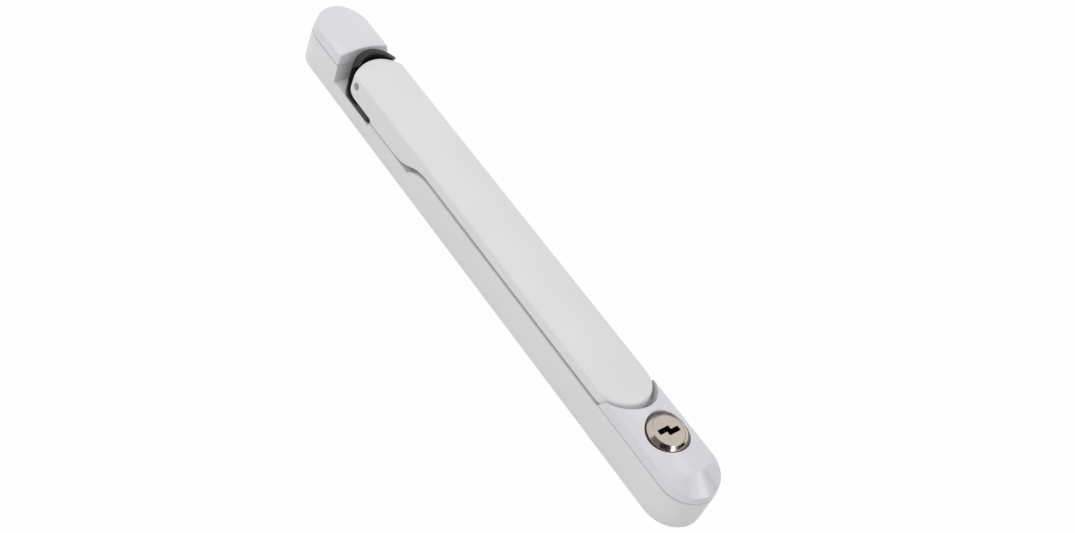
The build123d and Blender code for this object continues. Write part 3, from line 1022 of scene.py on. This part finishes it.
@dataclass
class BaseAssembly(Assembly):
    """The base casting with its caps and everything that is fixed in it."""

    kept: ClassVar[dict[str, Slot]] = {"hub_bush": Slot.NYLON, "disc_spring": Slot.SPRING}
    casting_edge: EdgeBreak = EdgeBreak(0.16 * MM, sharp_angle=math.radians(70))
    upper_edge: EdgeBreak = EdgeBreak(0.1 * MM)
    lock_edge: EdgeBreak = EdgeBreak(0.12 * MM, sharp_angle=math.radians(9.5))
    shoulder_start: float = 32.0 * MM
    deck_start: float = 50.9 * MM
    grip_floor: float = 8.2 * MM
    deck_drop: float = 0.7 * MM
    deck_reach: float = 1.0 * MM
    step_width: float = 0.02 * MM

    def build(self) -> None:
        """Makes the softened castings and the pads."""
        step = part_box("lock_cap")[0].x
        cuts = (step - self.step_width, step)
        casting = self.casting_edge.soften("base_body", Body.BASE, Slot.WHITE_COAT, cuts)
        self.lower_deck(casting.data, step - self.step_width / 2)
        self.upper_edge.soften("upper_cap", Body.BASE, Slot.WHITE_MOULDING)
        self.lock_edge.soften("lock_cap", Body.BASE, Slot.WHITE_MOULDING)
        RestPads(seat_drop=self.deck_drop).build()

    def lower_deck(self, mesh: bpy.types.Mesh, deck_end: float) -> None:
        """Sets the deck under the lever's blade below the seam of the caps.

        Args:
            mesh: The softened base.
            deck_end: Where the deck ends, just before the lock cap.
        """
        normals = [corner.vector.copy() for corner in mesh.corner_normals]
        deck = [p for p in mesh.vertices if self.deck_start < p.co.x < deck_end]
        shoulder = [p for p in mesh.vertices if self.shoulder_start < p.co.x <= self.deck_start]
        seam = max(point.co.z for point in deck)
        for point in deck:
            if point.co.z > seam - self.deck_reach:
                point.co.z -= self.deck_drop
        for point in shoulder:
            rise = max(0.0, point.co.z - self.grip_floor) / (seam - self.grip_floor)
            point.co.z -= self.deck_drop * rise
        mesh.normals_split_custom_set(normals)


@dataclass
class PivotAssembly(Assembly):
    """The black hub and the ring that holds it."""

    kept: ClassVar[dict[str, Slot]] = {"retaining_ring": Slot.SPRING}
    hub_edge: EdgeBreak = EdgeBreak(0.15 * MM)

    def build(self) -> None:
        """Makes the softened hub."""
        self.hub_edge.soften("hub", Body.HUB, Slot.BLACK_COAT)


@dataclass
class LeverAssembly(Assembly):
    """The lever with its pin, catch, plunger and spring."""

    kept: ClassVar[dict[str, Slot]] = {"hinge_pin": Slot.STEEL, "lever_plunger": Slot.NYLON}
    lever_edge: EdgeBreak = EdgeBreak(0.15 * MM)
    catch_edge: EdgeBreak = EdgeBreak(0.2 * MM)

    def build(self) -> None:
        """Makes the softened lever and catch and winds the spring."""
        self.lever_edge.soften("lever", Body.LEVER, Slot.WHITE_COAT)
        self.catch_edge.soften("lock_catch", Body.LEVER, Slot.STEEL)
        CoilSpring().build()


@dataclass
class LockAssembly(Assembly):
    """The key lock and the slide that it drives."""

    kept: ClassVar[dict[str, Slot]] = {"friction_ring": Slot.RUBBER, "plug_clip": Slot.SPRING}
    plug_edge: EdgeBreak = EdgeBreak(0.06 * MM)
    slide_edge: EdgeBreak = EdgeBreak(0.15 * MM)

    def build(self) -> None:
        """Makes the softened lock pieces and the screws."""
        self.plug_edge.soften("lock_barrel", Body.BASE, Slot.NICKEL)
        self.plug_edge.soften("lock_plug", Body.PLUG, Slot.NICKEL)
        self.slide_edge.soften("lock_slide", Body.SLIDE, Slot.STEEL)
        self.slide_edge.soften("slide_plate", Body.BASE, Slot.STEEL)
        PlateScrews().build()


def flat_sheet(name: str, width: float, height: float, level: float = 0.0) -> bpy.types.Mesh:
    """Makes a rectangle about the origin.

    Args:
        name: The mesh's name.
        width: Its size along X, in metres.
        height: Its size along Y, in metres.
        level: Its place along Z, in metres.

    Returns:
        The mesh.
    """
    x, y = width / 2, height / 2
    corners = [(-x, -y, level), (x, -y, level), (x, y, level), (-x, y, level)]
    mesh = bpy.data.meshes.new(name)
    mesh.from_pydata(corners, [], [(0, 1, 2, 3)])
    return mesh


@dataclass(frozen=True)
class Panel:
    """A flat rectangle in the studio that faces the handle."""

    name: str
    turn: float
    rise: float
    distance: float
    width: float
    height: float

    def hang(self, data: bpy.types.ID, target: Vector) -> bpy.types.Object:
        """Hangs the panel's lamp or mesh and turns it to the handle.

        Args:
            data: The lamp or mesh.
            target: The point that it faces, in metres.

        Returns:
            The panel's object.
        """
        holder = bpy.data.objects.new(self.name, data)
        turn, rise = math.radians(self.turn), math.radians(self.rise)
        flat = math.cos(rise)
        away = Vector((flat * math.cos(turn), flat * math.sin(turn), math.sin(rise)))
        holder.location = target + away * self.distance
        holder.rotation_mode = "QUATERNION"
        holder.rotation_quaternion = away.to_track_quat("Z", "Y")
        bpy.context.scene.collection.objects.link(holder)
        return holder

    def build(self, target: Vector) -> None:
        """Makes and hangs the panel; each kind has its own.

        Args:
            target: The point that it faces, in metres.
        """
        raise NotImplementedError


@dataclass(frozen=True)
class Softbox(Panel):
    """A soft light; one that only shines adds its reflection and no other light."""

    brightness: float = 1.0
    only_shines: bool = False

    def build(self, target: Vector) -> None:
        """Hangs the light.

        Args:
            target: The point that it faces, in metres.
        """
        lamp = bpy.data.lights.new(self.name, "AREA")
        lamp.shape = "RECTANGLE"
        lamp.size = self.width
        lamp.size_y = self.height
        lamp.energy = self.brightness * self.width * self.height * math.pi
        holder = self.hang(lamp, target)
        holder.visible_diffuse = not self.only_shines


@dataclass(frozen=True)
class Flag(Panel):
    """A dark card that shows as a reflection, and takes light away if it is to."""

    colour: Rgb = (0.01, 0.01, 0.01)
    takes_light: bool = False

    def build(self, target: Vector) -> None:
        """Hangs the card.

        Args:
            target: The point that it faces, in metres.
        """
        mesh = flat_sheet(self.name, self.width, self.height)
        material = bpy.data.materials.new(self.name)
        graph = blank_graph(material)
        matt = graph.node("ShaderNodeBsdfDiffuse", None, {"Color": (*self.colour, 1.0)})
        graph.node("ShaderNodeOutputMaterial", None, {"Surface": graph.out(matt)})
        mesh.materials.append(material)
        card = self.hang(mesh, target)
        card.visible_camera = False
        card.visible_diffuse = self.takes_light
        card.visible_transmission = False
        card.visible_shadow = self.takes_light


@dataclass
class Studio:
    """Camera, white floor, white surroundings, soft light and dark cards."""

    camera_place: Rgb = (276.842 * MM, -257.294 * MM, 336.646 * MM)
    image_right: Rgb = (0.56802, 0.76399, 0.30607)
    image_down: Rgb = (0.72226, -0.28442, -0.63043)
    focal_length: float = 43.106
    sensor_width: float = 36.0
    nearest: float = 0.01
    farthest: float = 20.0
    floor_size: float = 6.0
    floor_drop: float = 0.05 * MM
    floor_colour: Rgb = (0.9, 0.9, 0.9)
    floor_white: float = 0.96
    room_light: float = 0.83
    panels: tuple[Panel, ...] = (
        Softbox(
            "top_light", turn=155.0, rise=58.0, distance=0.62, width=0.4, height=0.4, brightness=0.75
        ),
        Softbox(
            "facet_light", turn=47.0, rise=48.0, distance=0.9, width=0.72, height=0.42,
            brightness=1.4, only_shines=True,
        ),
        Softbox(
            "bevel_light", turn=18.0, rise=41.0, distance=0.9, width=0.7, height=0.22,
            brightness=2.0, only_shines=True,
        ),
        Flag("camera_card", turn=-36.0, rise=48.0, distance=0.8, width=0.75, height=0.36),
        Flag(
            "side_card", turn=-92.0, rise=46.0, distance=0.8, width=0.6, height=0.3,
            colour=(0.3, 0.25, 0.23),
        ),
        Flag(
            "end_card", turn=26.0, rise=17.0, distance=0.5, width=0.7, height=0.3, takes_light=True
        ),
    )

    def build(self) -> None:
        """Sets up the whole studio."""
        scene = bpy.context.scene
        scene.view_settings.view_transform = "Standard"
        self.build_camera(scene)
        self.build_floor()
        self.build_room(scene)
        target = Vector(LOCK_CENTRE)
        for panel in self.panels:
            panel.build(target)

    def build_camera(self, scene: bpy.types.Scene) -> None:
        """Places the camera at the photograph's viewing angle.

        Args:
            scene: The scene that looks through it.
        """
        lens = bpy.data.cameras.new("camera")
        lens.sensor_fit = "HORIZONTAL"
        lens.sensor_width = self.sensor_width
        lens.lens = self.focal_length
        lens.clip_start = self.nearest
        lens.clip_end = self.farthest
        right = Vector(self.image_right)
        up = -Vector(self.image_down)
        back = right.cross(up)
        turn = Matrix((right, up, back)).transposed().to_4x4()
        camera = bpy.data.objects.new("camera", lens)
        camera.matrix_world = Matrix.Translation(Vector(self.camera_place)) @ turn
        scene.collection.objects.link(camera)
        scene.camera = camera

    def build_floor(self) -> None:
        """Lays a white floor that still takes the handle's shadow."""
        mesh = flat_sheet("floor", self.floor_size, self.floor_size, -self.floor_drop)
        material = bpy.data.materials.new("floor_white")
        graph = blank_graph(material)
        paint = {"Color": (*self.floor_colour, 1.0)}
        matt = graph.out(graph.node("ShaderNodeBsdfDiffuse", None, paint))
        glow = graph.out(graph.node("ShaderNodeEmission", None, {"Strength": 1.0}))
        share = seen_directly(graph) * self.floor_white
        both = graph.out(graph.node("ShaderNodeMixShader", None, {0: share, 1: matt, 2: glow}))
        graph.node("ShaderNodeOutputMaterial", None, {"Surface": both})
        mesh.materials.append(material)
        floor = bpy.data.objects.new("floor", mesh)
        bpy.context.scene.collection.objects.link(floor)

    def build_room(self, scene: bpy.types.Scene) -> None:
        """Surrounds the handle with even white light.

        Args:
            scene: The scene to light.
        """
        world = bpy.data.worlds.new("white_room")
        graph = blank_graph(world)
        strength = self.room_light + (1.0 - self.room_light) * seen_directly(graph)
        white = {"Color": (1.0, 1.0, 1.0, 1.0), "Strength": strength}
        shade = graph.out(graph.node("ShaderNodeBackground", None, white))
        graph.node("ShaderNodeOutputWorld", None, {"Surface": shade})
        scene.world = world


def seen_directly(graph: Graph) -> Signal:
    """Tells the rays that show a background from the rays that only carry light.

    Args:
        graph: The graph of the floor or the room.

    Returns:
        1 for camera, glossy and transmission rays, else 0.
    """
    path = graph.node("ShaderNodeLightPath")
    camera = graph.out(path, "Is Camera Ray")
    glossy = graph.out(path, "Is Glossy Ray")
    through = graph.out(path, "Is Transmission Ray")
    return camera.largest(glossy).largest(through)


def main() -> None:
    """Builds the sub-assemblies and the studio in order."""
    logging.basicConfig(level=logging.INFO, format="%(name)s: %(message)s")
    for assembly in (BaseAssembly(), PivotAssembly(), LeverAssembly(), LockAssembly()):
        assembly.build()
        assembly.dress()
        LOG.info("%s done", type(assembly).__name__)
    Studio().build()


if __name__ == "__main__":
    main()
